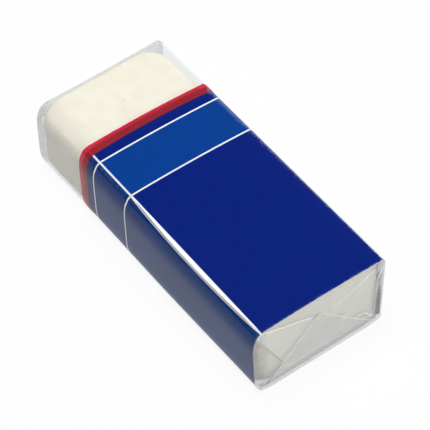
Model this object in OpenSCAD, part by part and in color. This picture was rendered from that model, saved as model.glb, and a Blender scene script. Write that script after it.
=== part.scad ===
// A soft rubber eraser in a folded card sleeve, sealed in a clear film overwrap with a red tear tape.
// X runs along the eraser, with its bare end at -X. Z is up, and the pack stands on its broad bottom.
// The narrow side at -Y bulges. The card's glue flap and the film's long seam are on the one at +Y.

/* [Eraser] */
// Length of the rubber block
eraser_len = 56.2; // [48:0.1:70]
// Width of the block without the bulge of its soft side
eraser_w = 21.8; // [18:0.1:30]
// Thickness of the block
eraser_h = 13.3; // [10:0.1:18]
// Radius of the block's edges
edge_r = 1.3; // [0.8:0.1:1.4]
// Corner radius of the bare end, seen from above
bare_corner_r = 3.2; // [1.6:0.1:5]
// Corner radius of the end in the sleeve, seen from above
sleeved_corner_r = 1.2; // [0.9:0.1:3]
// Depth of the rounded edges at the end in the sleeve
sleeved_edge_r = 0.6; // [0.4:0.1:0.8]
// How far the block's soft side bulges and bows the sleeve
side_bulge = 1.3; // [0:0.05:1.8]
// How far that side is tucked in at the bottom
side_tuck = 0.2; // [0:0.05:0.8]

/* [Sleeve] */
// Length of the card sleeve
sleeve_len = 43.2; // [30:0.1:44]
// Thickness of the card
card_t = 0.25; // [0.2:0.01:0.3]
// Clearance between the block and the card
sleeve_fit = 0.06; // [0.05:0.01:0.15]
// Outer radius of the card's creases
crease_r = 0.5; // [0.4:0.05:0.8]
// How far the top panel arches
panel_arch = 0.3; // [0:0.05:0.5]
// How far the sleeve's mouth reaches past the block
mouth_reach = 0.3; // [0.1:0.05:1]
// Width of the glue flap inside the narrow panel
glue_flap_w = 9; // [5:0.5:9]
// Height of the outer panel's cut edge above the bottom
cut_edge_z = 0.6; // [0.5:0.05:1]

/* [Film] */
// Thickness of the film
film_t = 0.05; // [0.04:0.01:0.08]
// Room between the card and the film
film_gap = 0.08; // [0.08:0.01:0.15]
// Room between the film and the end of the bare block
bare_end_gap = 0.2; // [0.1:0.05:0.5]
// Room between the film and the soft side of the bare block
bare_side_gap = 0.25; // [0.1:0.05:0.4]
// Room between the film and the bare block's top and bottom
bare_top_gap = 0.1; // [0.05:0.01:0.2]
// Radius of the film's corners round the bare block
bare_film_r = 0.6; // [0.4:0.05:1]
// Length beyond the tape in which the film comes down to the block
step_run = 0.4; // [0.2:0.1:2]
// How far the film sags across the end of the bare block
end_sag = 0.35; // [0:0.05:0.4]
// How far the top and bottom flaps reach over an end
flap_reach = 10.6; // [8:0.1:10.6]
// Slant of the bottom flap's sides
bottom_flap_angle = 45; // [45:1:60]
// Slant of the top flap's sides
top_flap_angle = 61; // [50:1:75]
// Distance of the flaps from the edges of an end
flap_inset = 0.25; // [0.2:0.05:0.5]
// Width of the long seam where the film laps over itself
seam_w = 5; // [3:0.5:6]
// Height of the seam's lower edge
seam_z = 4; // [2:0.5:5]

/* [Tear tape] */
// Width of the tape
tape_w = 2.1; // [1.6:0.1:3]
// Thickness of the tape
tape_t = 0.04; // [0.03:0.005:0.04]
// Clearance on each face of the tape
tape_fit = 0.02; // [0.015:0.005:0.02]
// Width of the tape that lies on the sleeve
tape_on_card = 1.25; // [0.5:0.05:1.5]
// Length of the pull tab beyond the seam
pull_tab_len = 3; // [2:0.5:4]

/* [Hidden] */

// Fineness of the curves.
corner_steps = 5;
top_steps = 12;
side_steps = 10;
block_corner_steps = 10;
block_edge_steps = 7;
block_side_steps = 10;
end_steps = 6;

// Sharpness of the bulge: a high power gives a flat panel that turns in quickly at its creases.
bulge_power = 6;
seam_top = seam_z + seam_w;
// Least width of a flap's tip.
flap_tip = 0.8;

sleeve_inner_h = eraser_h + 2 * sleeve_fit;
sleeve_inner_w = eraser_w + card_t + 2 * sleeve_fit;
sleeve_h = sleeve_inner_h + 2 * card_t;
sleeve_w = sleeve_inner_w + 2 * card_t;

eraser_x = [-eraser_len / 2, eraser_len / 2];
sleeve_x = [eraser_x[1] + mouth_reach - sleeve_len, eraser_x[1] + mouth_reach];
tape_x = [sleeve_x[0] + tape_on_card - tape_w, sleeve_x[0] + tape_on_card];
film_in_x = [eraser_x[0] - bare_end_gap, sleeve_x[1] + film_gap];
film_out_x = film_in_x + film_t * [-1, 1];

// The block lies against the +Y side of the sleeve's glue flap, one clearance off the -Y panel.
eraser_y = -sleeve_w / 2 + card_t + sleeve_fit + eraser_w / 2;
eraser_z = card_t + sleeve_fit;

// Beyond the sleeve the film follows the block's soft side and runs straight on at +Y.
bare_h = eraser_h + 2 * bare_top_gap;
bare_y = [eraser_y - eraser_w / 2 - bare_side_gap, sleeve_w / 2];
bare_z = eraser_z - bare_top_gap;
bare_size = [bare_y[1] - bare_y[0], bare_h];

// Sections across the pack, in Y and Z: width, height, corner radius, bulge, arch, tuck, middle in Y, bottom.
sleeve_section = [sleeve_w, sleeve_h, crease_r, side_bulge, panel_arch, side_tuck, 0, 0];
bare_section = concat(
    bare_size, bare_film_r, side_bulge, 0, side_tuck, (bare_y[0] + bare_y[1]) / 2, bare_z);
end_section = bare_section + [0, 0, 0, 0, -end_sag, 0, 0, 0];

// The pack is moved so that the frame's origin is at the middle of its bottom.
film_reach = film_gap + film_t;
flap_layers = 2;
pack_x = film_out_x + flap_layers * film_t * [-1, 1];
film_outline = grown(outline(sleeve_section), film_reach);
pack_y = [min([for (p = film_outline) p.x]), sleeve_w / 2 + film_reach + film_t];
to_frame = [-(pack_x[0] + pack_x[1]) / 2, -(pack_y[0] + pack_y[1]) / 2, film_reach];

// The film's course along X: it lies on the sleeve, steps down to the bare block and sags across its end.
step_x = [tape_x[0] - step_run, sleeve_x[0] - tape_fit];
sag_x = eraser_x[0] + edge_r;

function part_way(a, b, share) = a + (b - a) * share;

function section_at(x) =
    x >= step_x[1] ? sleeve_section :
    x >= step_x[0] ? part_way(bare_section, sleeve_section, (x - step_x[0]) / (step_x[1] - step_x[0])) :
    x >= sag_x ? bare_section :
    part_way(bare_section, end_section, (sag_x - x) / (sag_x - film_out_x[0]));

// A section drawn in by d on all sides.
function drawn_in(s, d) = s + d * [-2, -2, 0, 0, 0, 0, 0, 1];

function arc(centre, r, from, to) = [for (i = [0 : corner_steps])
    let (a = part_way(from, to, i / corner_steps)) centre + r * [cos(a), sin(a)]];

function between(p, q, steps) = [for (i = [1 : steps - 1]) part_way(p, q, i / steps)];

// The same with points that lie closer together towards both ends.
function eased_between(p, q, steps) = [for (i = [1 : steps - 1])
    part_way(p, q, (1 - cos(180 * i / steps)) / 2)];

// Moves a point of a plain box section to where the bulge, the arch and the tuck put it.
function shaped(p, w, h, bulge, arch, tuck) = [
    p.x - (p.x < 0 ? bulge * (1 - pow(abs(2 * p.y / h - 1), bulge_power)) : 0)
        + tuck * (1 - p.y / h) * (0.5 - p.x / w),
    p.y + (p.y > h / 2 ? arch * (1 - pow(2 * p.x / w, 2)) : 0)];

// A section's outline, counter-clockwise as seen from +X, from the lower corner at +Y.
function outline(s) = let (w = s[0], h = s[1], r = s[2], side = w / 2 - r) [
    for (p = concat(
        arc([side, r], r, -90, 0),
        arc([side, h - r], r, 0, 90),
        between([side, h], [-side, h], top_steps),
        arc([-side, h - r], r, 90, 180),
        eased_between([-w / 2, h - r], [-w / 2, r], side_steps),
        arc([-side, r], r, 180, 270)))
    shaped(p, w, h, s[3], s[4], s[5]) + [s[6], s[7]]];

// The outline a distance d outside another one.
function grown(points, d) = let (n = len(points)) [for (i = [0 : n - 1])
    let (run = points[(i + 1) % n] - points[(i + n - 1) % n])
    points[i] + d * [run.y, -run.x] / norm(run)];

function ring_at(x, points) = [for (p = points) [x, p.x, p.y]];

// A ring of the film, or of what lies under it, a distance d outside the card's own surface.
// A stop is a place along X and how far the section is drawn in there.
function film_ring(stop, d) = ring_at(stop[0], grown(outline(drawn_in(section_at(stop[0]), stop[1])), d));

function plain_stops(places) = [for (x = places) [x, 0]];

// Stops that round the edges of the bare end, from its flat face to the full section.
function round_stops(x, r) = [for (i = [0 : end_steps]) let (a = 90 * i / end_steps)
    [x + r * (1 - cos(a)), r * (1 - sin(a))]];

function side_faces(rings, n) = [for (k = [0 : rings - 2]) for (i = [0 : n - 1])
    let (a = k * n + i, b = k * n + (i + 1) % n) each [[a, a + n, b + n], [a, b + n, b]]];

// The edge of a band, between its outer ring that begins at a point and the inner one.
function rim(n, first, inside) = [for (i = [0 : n - 1])
    let (a = first + i, b = first + (i + 1) % n) each [[a, b, b + inside], [a, b + inside, a + inside]]];

// A closed body over a row of rings that all have as many points.
module skin(rings) {
    n = len(rings[0]);
    last = (len(rings) - 1) * n;
    polyhedron(
        points = [for (ring = rings) each ring],
        faces = concat(
            [[for (i = [0 : n - 1]) i]],
            side_faces(len(rings), n),
            [[for (i = [n - 1 : -1 : 0]) last + i]]));
}

// A band between a row of outer rings and as many inner ones, open at its last ring.
// Its first ring is open too, or closed by a flat wall.
module band(outer, inner, walled = false) {
    n = len(outer[0]);
    rings = len(outer);
    inside = rings * n;
    end = inside - n;
    polyhedron(
        points = [for (ring = concat(outer, inner)) each ring],
        faces = concat(
            side_faces(rings, n),
            [for (f = side_faces(rings, n)) [f[2], f[1], f[0]] + inside * [1, 1, 1]],
            walled ? [[for (i = [0 : n - 1]) i], [for (i = [n - 1 : -1 : 0]) inside + i]] : rim(n, 0, inside),
            [for (f = rim(n, end, inside)) [f[2], f[1], f[0]]]));
}

// Extrudes an outline in Y and Z along X.
module along_x(x) {
    translate([x[0], 0, 0])
        rotate([90, 0, 90])
            linear_extrude(x[1] - x[0])
                children();
}

// One level of the block, seen from above, drawn in from its full size by inset.
function block_ring(z, inset) = let (
        bulge = side_bulge * (1 - pow(abs(2 * z / eraser_h - 1), bulge_power)),
        sleeved_inset = inset * sleeved_edge_r / edge_r,
        corners = [
            [eraser_x[1], -1, sleeved_corner_r, -90, sleeved_inset],
            [eraser_x[1], 1, sleeved_corner_r, 0, sleeved_inset],
            [eraser_x[0], 1, bare_corner_r, 90, inset],
            [eraser_x[0], -1, bare_corner_r, 180, inset]])
    [for (c = corners) for (i = [0 : block_corner_steps])
        let (
            a = c[3] + 90 * i / block_corner_steps,
            centre = [c[0] - sign(c[0]) * c[2], c[1] * (eraser_w / 2 - c[2])],
            p = centre + (c[2] - c[4]) * [cos(a), sin(a)],
            bulged_y = p.y - (p.y < 0 ? bulge : 0),
            tucked_y = bulged_y + side_tuck * (1 - z / eraser_h) * (0.5 - p.y / eraser_w))
        [p.x, tucked_y + eraser_y, z + eraser_z]];

// Heights of the block's levels, with how far each is drawn in: rounded at the bottom and the top.
block_levels = concat(
    [for (i = [0 : block_edge_steps]) let (a = 90 * i / block_edge_steps)
        [edge_r * (1 - cos(a)), edge_r * (1 - sin(a))]],
    [for (z = eased_between(edge_r, eraser_h - edge_r, block_side_steps)) [z, 0]],
    [for (i = [block_edge_steps : -1 : 0]) let (a = 90 * i / block_edge_steps)
        [eraser_h - edge_r * (1 - cos(a)), edge_r * (1 - sin(a))]]);

module eraser_block() {
    color([0.95, 0.92, 0.84])
        translate(to_frame)
            skin([for (level = block_levels) block_ring(level[0], level[1])]);
}

// The card is one folded strip: its outer narrow panel at +Y covers the glue flap and ends in a cut edge.
module card_sleeve() {
    card = outline(sleeve_section);
    panel_y = sleeve_w / 2 - card_t;
    color([0.05, 0.14, 0.47])
        translate(to_frame)
            along_x(sleeve_x) {
                difference() {
                    polygon(card);
                    polygon(grown(card, -card_t));
                    translate([panel_y, -card_t])
                        square([2 * card_t, cut_edge_z + card_t]);
                }
                translate([panel_y - card_t, card_t / 2])
                    square([card_t + sleeve_fit / 2, glue_flap_w]);
            }
}

module tear_tape() {
    places = [tape_x[0], step_x[1], tape_x[1]];
    stops = plain_stops(places);
    color([0.72, 0.1, 0.2])
        translate(to_frame) {
            band(
                [for (stop = stops) film_ring(stop, tape_fit + tape_t)],
                [for (stop = stops) film_ring(stop, tape_fit)]);
            pull_tab(places);
        }
}

// The tape's end, brought out from under the seam and pressed flat on the film's +Y side.
module pull_tab(places) {
    film_y = [for (x = places) let (s = section_at(x)) s[0] / 2 + s[6] + film_reach + tape_fit];
    root = [for (i = [0 : len(places) - 1]) [places[i], film_y[i]]];
    tip = [for (i = [len(places) - 1 : -1 : 0]) [places[i], film_y[i] + tape_t]];
    translate([0, 0, seam_top + tape_fit])
        linear_extrude(pull_tab_len)
            polygon(concat(root, tip));
}

module film_wrap() {
    stops = plain_stops([sag_x, step_x[0], tape_x[0], step_x[1], film_out_x[1]]);
    outer = concat(round_stops(film_out_x[0], edge_r), stops);
    inner = concat(round_stops(film_in_x[0], edge_r - film_t), stops);
    color([0.85, 0.9, 0.95, 0.35])
        translate(to_frame) {
            band(
                [for (stop = outer) film_ring(stop, film_reach)],
                [for (stop = inner) film_ring(stop, film_gap)],
                walled = true);
            along_x([film_in_x[1], film_out_x[1]])
                polygon(grown(outline(sleeve_section), film_gap + film_t / 2));
            long_seam();
            folded_end(film_out_x[0], -1, drawn_in(section_at(film_out_x[0]), edge_r));
            folded_end(film_out_x[1], 1, sleeve_section);
        }
}

// The second layer where the film laps over itself on its flat +Y side.
module long_seam() {
    start = film_out_x[0] + edge_r;
    translate([start, sleeve_w / 2 + film_reach - film_t / 2, seam_z])
        cube([film_in_x[1] - start, 1.5 * film_t, seam_w]);
}

// A flap in Y and Z: its base from y[0] to y[1] at height z, its sides leaning in towards the tip.
// Up is 1 for a flap that is folded up and -1 for one that is folded down. It reaches no further than room.
function flap(y, z, up, angle, room) =
    let (
        reach = min(flap_reach, room, (y[1] - y[0] - flap_tip) / 2 * tan(angle)),
        lean = reach / tan(angle))
    [[y[0], z], [y[1], z], [y[1] - lean, z + up * reach], [y[0] + lean, z + up * reach]];

// The flaps over an end with a flat section s: the tucked-in sides are the wall that is already there,
// the top flap is folded over it first, and the bottom flap over the top one.
module folded_end(x, outward, s) {
    root = x - outward * film_t;
    edges = s[6] * [1, 1] + (s[0] / 2 - flap_inset) * [-1, 1];
    height = s[1] + min(s[4], 0);
    room = height - 3 * flap_inset;
    layers = [
        flap(edges, s[7] + height - flap_inset, -1, top_flap_angle, room),
        flap(edges + [s[5], 0], s[7] + flap_inset, 1, bottom_flap_angle, room)];
    for (i = [0 : flap_layers - 1])
        let (face = x + outward * (i + 1) * film_t)
            along_x([min(root, face), max(root, face)])
                polygon(layers[i]);
}

eraser_block();
card_sleeve();
tear_tape();
film_wrap();
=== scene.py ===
# %% [markdown]
# # A wrapped rubber eraser
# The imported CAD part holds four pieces: a soft rubber block, the printed card sleeve round it, a red tear
# tape and a clear film overwrap. Here each of them gets a finer Blender piece in the same place, with a
# material made of nodes, and the pack is set on a white studio floor.
# The sizes of the pack are written in millimetres and turned into metres by MM, because the frame is in
# metres. Only the studio round it is written in metres.

# %% Load the CAD frame
import math

import bmesh
import bpy
from mathutils import Matrix, Vector, noise


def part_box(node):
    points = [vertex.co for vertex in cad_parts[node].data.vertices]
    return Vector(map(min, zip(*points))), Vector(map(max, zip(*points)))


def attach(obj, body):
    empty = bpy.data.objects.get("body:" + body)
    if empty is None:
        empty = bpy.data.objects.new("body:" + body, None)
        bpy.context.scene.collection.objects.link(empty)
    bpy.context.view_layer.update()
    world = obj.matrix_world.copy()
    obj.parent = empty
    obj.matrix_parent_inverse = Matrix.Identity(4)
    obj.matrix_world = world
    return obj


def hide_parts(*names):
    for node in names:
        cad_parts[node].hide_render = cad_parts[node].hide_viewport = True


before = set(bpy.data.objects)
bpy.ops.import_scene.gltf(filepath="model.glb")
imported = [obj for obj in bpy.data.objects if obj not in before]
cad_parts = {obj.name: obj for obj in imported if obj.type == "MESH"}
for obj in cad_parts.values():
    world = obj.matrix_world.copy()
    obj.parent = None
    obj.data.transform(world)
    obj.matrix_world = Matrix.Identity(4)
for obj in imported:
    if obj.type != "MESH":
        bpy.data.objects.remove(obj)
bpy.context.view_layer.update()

MM = 0.001

# %% [markdown]
# ## The camera
# A product photograph like this one is taken with a long lens from well above. The focal length in pixels,
# the angles and the distance were found by matching the pack's corners, so they are given as they were
# found. The three axes of the camera are worked out from the angles and put into its matrix.

# %% Place the camera
IMAGE_PX, FOCAL_PX, SENSOR_W = 430, 2023, 36
AZIMUTH, ELEVATION, ROLL = (math.radians(angle) for angle in (54.25, 50.20, -0.89))
DISTANCE = 309.2
AIM = Vector((0, 0.589, 6.5))
SLIDE_RIGHT, SLIDE_UP = 1.309, -0.959

back = Vector((
    math.sin(AZIMUTH) * math.cos(ELEVATION),
    -math.cos(AZIMUTH) * math.cos(ELEVATION),
    math.sin(ELEVATION)))
level = Vector((0, 0, 1)).cross(back).normalized()
steep = back.cross(level)
right = math.cos(ROLL) * level + math.sin(ROLL) * steep
above = math.cos(ROLL) * steep - math.sin(ROLL) * level

bpy.ops.object.camera_add()
camera = bpy.context.object
camera.name = "photo_camera"
camera.data.sensor_width = SENSOR_W
camera.data.lens = FOCAL_PX / IMAGE_PX * SENSOR_W
camera.data.clip_start, camera.data.clip_end = 0.01, 20
spot = (AIM + SLIDE_RIGHT * right + SLIDE_UP * above + DISTANCE * back) * MM
camera.matrix_world = Matrix.Translation(spot) @ Matrix((right, above, back)).transposed().to_4x4()
bpy.context.scene.camera = camera
print("camera, mm:", [round(value / MM, 1) for value in spot], "lens", round(camera.data.lens, 1))

# %% [markdown]
# ## Helpers for node trees
# Every material below is built from the same few steps, so each gets a short helper: add a node and feed
# it, do a sum, turn a value into a soft mask, and mix two colours.

# %% Node helpers: add, feed and calculate
def wire(tree, kind, feeds=None, **settings):
    """Adds a node with its settings, and feeds its inputs with numbers, colours or other nodes' outputs."""
    node = tree.nodes.new("ShaderNode" + kind)
    for setting, value in settings.items():
        setattr(node, setting, value)
    feed(tree, node, feeds or {})
    return node


def feed(tree, node, feeds):
    """Links each input to another node's output, or sets it to a number or a colour."""
    for name, value in feeds.items():
        if isinstance(value, bpy.types.NodeSocket):
            tree.links.new(value, node.inputs[name])
        else:
            node.inputs[name].default_value = value


def calc(tree, operation, first, second=0.0):
    """One sum with two values."""
    return wire(tree, "Math", {0: first, 1: second}, operation=operation).outputs[0]


def product(tree, first, *others):
    """Several masks or values multiplied, so that a mask holds only where all of them do."""
    for other in others:
        first = calc(tree, "MULTIPLY", first, other)
    return first

# %% Node helpers: masks, colours and new materials
def fade(tree, value, start, end):
    """A soft mask: 0 where the value is at start, 1 where it is at end, and it may run either way."""
    feeds = {"Value": value, "From Min": start, "From Max": end}
    return wire(tree, "MapRange", feeds, interpolation_type="SMOOTHSTEP").outputs[0]


def fade_mm(tree, value, start, end):
    """The same for a length in metres, between two places in mm."""
    return fade(tree, value, start * MM, end * MM)


def strip(tree, value, middle, width, soft):
    """A mask that is 1 within half a width of the middle, with soft edges. All three are in mm."""
    away = calc(tree, "ABSOLUTE", calc(tree, "SUBTRACT", value, middle * MM))
    return fade_mm(tree, away, width / 2 + soft / 2, width / 2 - soft / 2)


def blend_colours(tree, share, first, second):
    """The first colour where the share is 0 and the second where it is 1."""
    node = wire(tree, "Mix", data_type="RGBA")
    feed(tree, node, {0: share, 6: first, 7: second})
    return node.outputs[2]


def rgb(red, green, blue):
    return (red, green, blue, 1.0)


def new_material(name):
    """An empty node material with its output node."""
    material = bpy.data.materials.new(name)
    material.use_nodes = True
    material.node_tree.nodes.clear()
    return material, material.node_tree, wire(material.node_tree, "OutputMaterial")


def place_of(tree):
    """The three Object coordinates of the shaded point, in metres, and all three as one vector."""
    vector = wire(tree, "TexCoord").outputs["Object"]
    split = wire(tree, "SeparateXYZ", {0: vector})
    return split.outputs[0], split.outputs[1], split.outputs[2], vector

# %% [markdown]
# ## The studio
# The pack lies on a wide white floor. The floor's own diffuse white carries the soft shadow, and for rays
# from the camera or from a shiny surface most of it is an even white of strength 1, so that it looks
# pure white without more light on the pack.
# A soft lamp nearly overhead gives the top its brightness and puts a thin gleam on the creases of the film.
# It keeps clear of the direction that the flat top mirrors, so the blue print stays deep. Two weaker lamps
# lift the mouth and the far side, and a dim world fills in the rest.

# %% White floor
WHITE_SHARE = 0.93

bpy.ops.mesh.primitive_plane_add(size=6, location=(0, 0, 0))
floor = bpy.context.object
floor.name = "studio_floor"
floor_white, tree, output = new_material("studio_white")
path = wire(tree, "LightPath").outputs
seen = calc(tree, "MAXIMUM", path["Is Camera Ray"], path["Is Glossy Ray"])
seen = calc(tree, "MAXIMUM", seen, path["Is Transmission Ray"])
matt = wire(tree, "BsdfDiffuse", {"Color": rgb(0.8, 0.8, 0.8)})
glow = wire(tree, "Emission", {"Color": rgb(1, 1, 1), "Strength": 1.0})
both = wire(tree, "MixShader", {
    0: product(tree, seen, WHITE_SHARE), 1: matt.outputs[0], 2: glow.outputs[0]})
tree.links.new(both.outputs[0], output.inputs["Surface"])
floor.data.materials.append(floor_white)
print("floor:", floor.name, "with", len(tree.nodes), "nodes")

# %% Lamps and world
def add_lamp(name, place, size, power):
    """A square soft lamp at a place in metres, facing the pack, with its power in watts."""
    bpy.ops.object.light_add(type="AREA", location=place)
    lamp = bpy.context.object
    lamp.name = name
    lamp.data.size = size
    lamp.data.energy = power
    lamp.rotation_euler = Vector(place).to_track_quat("Z", "Y").to_euler()
    return lamp


lamps = [
    add_lamp("overhead_softbox", place=(-0.10, -0.06, 0.70), size=0.3, power=4.3),
    add_lamp("front_fill", place=(0.62, 0.16, 0.22), size=0.4, power=1.75),
    add_lamp("back_fill", place=(-0.3, 0.5, 0.3), size=0.3, power=0.9)]

world = bpy.data.worlds.new("studio_air")
world.use_nodes = True
bpy.context.scene.world = world
sky = world.node_tree.nodes["Background"]
sky.inputs["Color"].default_value = rgb(0.94, 0.97, 1.0)
sky.inputs["Strength"].default_value = 0.15
bpy.context.scene.view_settings.view_transform = "Standard"
print("lamps:", [lamp.name for lamp in lamps])

# %% [markdown]
# ## Helpers for modelling
# Each piece starts as a cube of the real size in the real place, and is then shaped in edit mode. An
# operator acts on all that is selected, so the helpers first select exactly what is meant, by place or
# direction.

# %% Modelling helpers: boxes, picks and cuts
NEAR = 0.01  # Two places this close, in mm, count as the same.


def add_box(name, low, high):
    """A new cube between two corners in mm, as the only selected object, with its place in its mesh."""
    bpy.ops.object.select_all(action="DESELECT")
    middle = [(a + b) / 2 * MM for a, b in zip(low, high)]
    size = [(b - a) * MM for a, b in zip(low, high)]
    bpy.ops.mesh.primitive_cube_add(size=1, location=middle, scale=size)
    bpy.ops.object.transform_apply(location=True, rotation=True, scale=True)
    piece = bpy.context.object
    piece.name = piece.data.name = name
    bpy.ops.object.mode_set(mode="EDIT")
    return piece


def pick(kind, rule):
    """Selects exactly the edges or faces that the rule is true for."""
    bpy.ops.mesh.select_mode(type=kind)
    bpy.ops.mesh.select_all(action="DESELECT")
    mesh = bpy.context.object.data
    form = bmesh.from_edit_mesh(mesh)
    parts = {"EDGE": form.edges, "FACE": form.faces}[kind]
    for part in [part for part in parts if rule(part)]:
        part.select_set(True)
    bmesh.update_edit_mesh(mesh)


def whole(face):
    return True


def cut(axis, places, rule=whole):
    """Cuts the faces that the rule is true for by planes across an axis, at places in mm."""
    direction = [float(i == axis) for i in range(3)]
    for place in places:
        pick("FACE", rule)
        bpy.ops.mesh.bisect(plane_co=[place * MM * d for d in direction], plane_no=direction)


def runs_along(edge, axis):
    """True if an edge is parallel to an axis."""
    run = (edge.verts[1].co - edge.verts[0].co).normalized()
    return abs(run[axis]) > 0.999


def spread(start, end, steps):
    """Evenly spaced places between two ends, without the ends."""
    return [start + (end - start) * i / steps for i in range(1, steps)]

# %% Modelling helpers: shaping and finishing
def clamp(value):
    """The value, kept between 0 and 1."""
    return min(max(value, 0), 1)


def reshape(piece, rule):
    """Moves each vertex to where the rule puts it, in mm, as a sculpting brush would."""
    for vertex in piece.data.vertices:
        vertex.co = Vector(rule(vertex.co / MM)) * MM


def apply_modifier(piece, kind, **settings):
    """Adds a modifier with its settings and applies it."""
    modifier = piece.modifiers.new(kind.lower(), kind)
    for setting, value in settings.items():
        setattr(modifier, setting, value)
    bpy.ops.object.modifier_apply(modifier=modifier.name)


def smooth(piece, degrees):
    """Smooth shading, except over edges sharper than the angle. Prints what the piece came to."""
    bpy.ops.object.shade_smooth_by_angle(angle=math.radians(degrees))
    size = [round(side / MM, 2) for side in piece.dimensions]
    lowest = min(vertex.co.z for vertex in piece.data.vertices) / MM
    print(piece.name, "faces:", len(piece.data.polygons), "size, mm:", size, "lowest:", round(lowest, 3))

# %% [markdown]
# ## The rubber block
# The block is moulded, with large soft corners at its bare end, smaller ones at the end in the sleeve, and
# rounded long edges. It is softer than the card, so its side at -Y bulges, the long edge above that side is
# worn, and the top of the bare end leans in. It is made from a cube: first its upright edges are bevelled,
# then the rims of its top and bottom, and then cuts across it give the points that let its side bulge and
# its faces be a little uneven, as cut and tumbled rubber is.

# %% Rubber: rounded box
BLOCK_W, EDGE_R = 21.8, 1.3
BARE_R, BACK_CORNER_R, SLEEVED_R = 3.2, 4.8, 1.6
block_low, block_high = (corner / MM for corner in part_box("eraser_block"))
block_low.y = block_high.y - BLOCK_W

rubber = add_box("rubber_block", block_low, block_high)
for end, side, radius in (
        (block_low.x, block_low.y, BARE_R), (block_low.x, block_high.y, BACK_CORNER_R),
        (block_high.x, block_low.y, SLEEVED_R), (block_high.x, block_high.y, SLEEVED_R)):
    corner = Vector((end, side))
    pick("EDGE", lambda edge: runs_along(edge, 2) and (edge.verts[0].co.xy / MM - corner).length < NEAR)
    bpy.ops.mesh.bevel(offset=radius * MM, segments=9, affect="EDGES")
for level_z in (block_low.z, block_high.z):
    pick("EDGE", lambda edge: all(abs(v.co.z / MM - level_z) < NEAR for v in edge.verts))
    bpy.ops.mesh.bevel(offset=EDGE_R * MM, segments=6, affect="EDGES")
print("block before it bulges, mm:", [round(side, 2) for side in block_high - block_low])

# %% Rubber: sizes of its soft forms, and cuts for them
# How far the side at -Y bulges, how far it is tucked in at its bottom, and how square the bulge is.
SIDE_BULGE, SIDE_TUCK, BULGE_POWER = 1.3, 0.2, 6
# Where the bare part starts and ends, and how much further its side bulges.
BARE_X, BARE_END_X, BARE_BULGE = -16.14, -28.54, 0.25
# How deep and how long the shallow hollows are.
WAVE_DEPTH, WAVE_LENGTH = 0.07, 6.5
# How much flatter the rounding of the sleeved end is, and the share of that which grows towards its top.
END_DEPTH, END_TOP_SHARE = 0.5, 0.7
# How far the top of the bare end leans in for each mm that it lies beyond a place across.
RUBBER_LEAN, LEAN_Y = 0.038, 6.0
# How far the long edge is worn, how far from it the wear starts, and how gradually.
WORN_DEPTH, WORN_REACH, WORN_POWER = 0.5, 3.2, 1.5

cut(0, spread(block_low.x + BARE_R, block_high.x - SLEEVED_R, 26))
cut(1, [block_low.y + WORN_REACH, *spread(block_low.y + BARE_R, block_high.y - BARE_R, 9)])
cut(2, [*spread(block_low.z + EDGE_R, block_high.z - EDGE_R, 9), block_high.z - WORN_REACH])
bpy.ops.object.mode_set(mode="OBJECT")
block_middle = (block_low + block_high) / 2
block_size = block_high - block_low
print("block, cut:", len(rubber.data.polygons), "faces")

# %% Rubber: soft side and uneven faces
def soften_block(point):
    """The bulged side and its worn edge, a flatter sleeved end, a leaning bare end and shallow hollows."""
    inward = (block_middle - point).normalized()
    hollow = WAVE_DEPTH * (0.5 + 0.5 * noise.noise(point / WAVE_LENGTH))
    share_up = (point.z - block_low.z) / block_size.z
    share_across = (point.y - block_middle.y) / block_size.y
    moved = point + inward * hollow
    from_end = block_high.x - point.x
    if from_end < SLEEVED_R + NEAR:
        moved.x += from_end * (1 - END_DEPTH * (1 - END_TOP_SHARE + END_TOP_SHARE * share_up))
    elif from_end > block_size.x - 2 * BARE_R:
        lean = RUBBER_LEAN * max(LEAN_Y - point.y, 0) * share_up
        moved.x += lean * (1 - (point.x - block_low.x) / (2 * BARE_R))
    if point.y < block_middle.y:
        bulge = SIDE_BULGE + BARE_BULGE * max(BARE_X - point.x, 0) / (BARE_X - BARE_END_X)
        moved.y -= bulge * (1 - abs(2 * share_up - 1) ** BULGE_POWER)
    moved.y += SIDE_TUCK * (1 - share_up) * (0.5 - share_across)
    near_top = max(1 - (block_high.z - point.z) / WORN_REACH, 0)
    near_side = max(1 - (point.y - block_low.y) / WORN_REACH, 0)
    if from_end > SLEEVED_R:
        moved += Vector((0, 1, -1)) * WORN_DEPTH * (near_top * near_side) ** WORN_POWER
    return moved


reshape(rubber, soften_block)
smooth(rubber, 40)

# %% [markdown]
# ## The form of the pack
# Card, tape and film all follow the same cross-section: a box with small creases, whose side at -Y bows out
# over the soft rubber and whose top arches a little. Beyond the sleeve the film comes down to the bare
# rubber, and at its end it is drawn in at the top and at -Y. So each of the three starts as a plain tube, a
# given rise outside the card, and one rule moves its points onto the real form. Its main sizes are those of
# the CAD source.

# %% Cross-sections along the pack
CARD_W, CARD_H, CARD_MIDDLE, CARD_BOTTOM = 22.67, 13.92, 0.589, 0.13
BARE_W, BARE_H, BARE_MIDDLE, BARE_BOTTOM = 22.61, 13.5, 0.619, 0.34
TOP_ARCH, END_ARCH, MOUTH_TUCK = 0.3, -0.35, 0.6
BEFORE_END_X, SLEEVE_X, MIDWAY_X, MOUTH_X = -26.89, -14.91, 6, 28.54
END_ROUND, CREASE_R, BACK_BOW = 1.3, 0.5, 0.22
CARD_TOP, HALFWAY_UP = CARD_BOTTOM + CARD_H, CARD_BOTTOM + CARD_H / 2


def sleeve_section(tuck):
    """Width, height, bulge, arch, tuck, middle in y and bottom in z, over the card."""
    return CARD_W, CARD_H, SIDE_BULGE, TOP_ARCH, tuck, CARD_MIDDLE, CARD_BOTTOM


def bare_section(bulge_share, arch):
    """The same seven over the bare rubber, with a share of its further bulge."""
    bulge = SIDE_BULGE + bulge_share * BARE_BULGE
    return BARE_W, BARE_H, bulge, arch, SIDE_TUCK, BARE_MIDDLE, BARE_BOTTOM


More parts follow.
